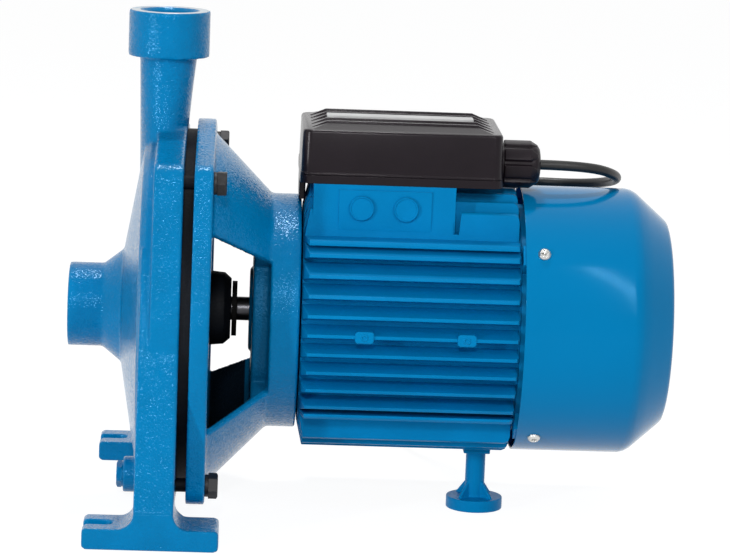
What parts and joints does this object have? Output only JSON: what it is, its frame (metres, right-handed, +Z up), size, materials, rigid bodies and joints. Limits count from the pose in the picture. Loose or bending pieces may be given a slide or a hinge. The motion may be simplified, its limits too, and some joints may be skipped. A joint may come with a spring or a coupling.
{
  "type": "centrifugal pump",
  "caption": "Small electric centrifugal pump: cast volute casing on two legs, lantern bracket with side windows, finned motor, terminal box, fan cover and flex.",
  "frame": {"origin": "middle of the pump's length and width, without its flex, on the floor", "axes": "+X along the shaft from the suction port towards the fan end, +Z up, -Y towards the side that shows in the picture"},
  "size_m": [0.3564, 0.3821, 0.296],
  "materials": {
    "cast_paint": "gloss enamel over a cast surface",
    "motor_paint": "satin enamel",
    "cover_paint": "smooth gloss enamel",
    "dark_iron": "dark primer",
    "black_steel": "black oxide",
    "shaft_steel": "turned",
    "bearing_steel": "ground",
    "impeller_brass": "cast and turned",
    "seal_rubber": "moulded",
    "screw_steel": "zinc plated",
    "fan_plastic": "moulded",
    "box_plastic": "fine grained",
    "gland_plastic": "moulded",
    "cord_rubber": "satin rubber",
    "plug_plastic": "moulded",
    "pin_brass": "nickel plated"
  },
  "bodies": {
    "pump_body": {"volute_casing": "cast_paint", "discharge_neck": "cast_paint", "near_leg": "cast_paint", "far_leg": "cast_paint", "drain_plug": "cast_paint", "seal_cover": "dark_iron", "lantern_bracket": "cast_paint", "flange_bolts": "black_steel", "front_bearing": "bearing_steel", "rear_bearing": "bearing_steel", "motor_frame": "motor_paint", "rear_end_shield": "motor_paint", "fan_cover": "cover_paint", "fan_cover_screws": "screw_steel", "terminal_box_base": "box_plastic", "terminal_box_lid": "box_plastic", "gland_body": "gland_plastic", "gland_nut": "gland_plastic", "motor_foot": "motor_paint", "cord_lead": "cord_rubber", "cord_coil": "cord_rubber", "cord_tail": "cord_rubber", "coil_tie": "gland_plastic", "plug_body": "plug_plastic", "plug_pins": "pin_brass"},
    "rotor": {"shaft": "shaft_steel", "impeller": "impeller_brass", "impeller_nut": "screw_steel", "shaft_seal": "seal_rubber", "shaft_slinger": "seal_rubber", "cooling_fan": "fan_plastic", "fan_clip": "screw_steel"}
  },
  "joints": [
    {"name": "rotor_spin", "type": "hinge", "parent": "pump_body", "child": "rotor", "pos_m": [-0.02275, 0, 0.118], "axis": [1, 0, 0], "continuous": true}
  ]
}
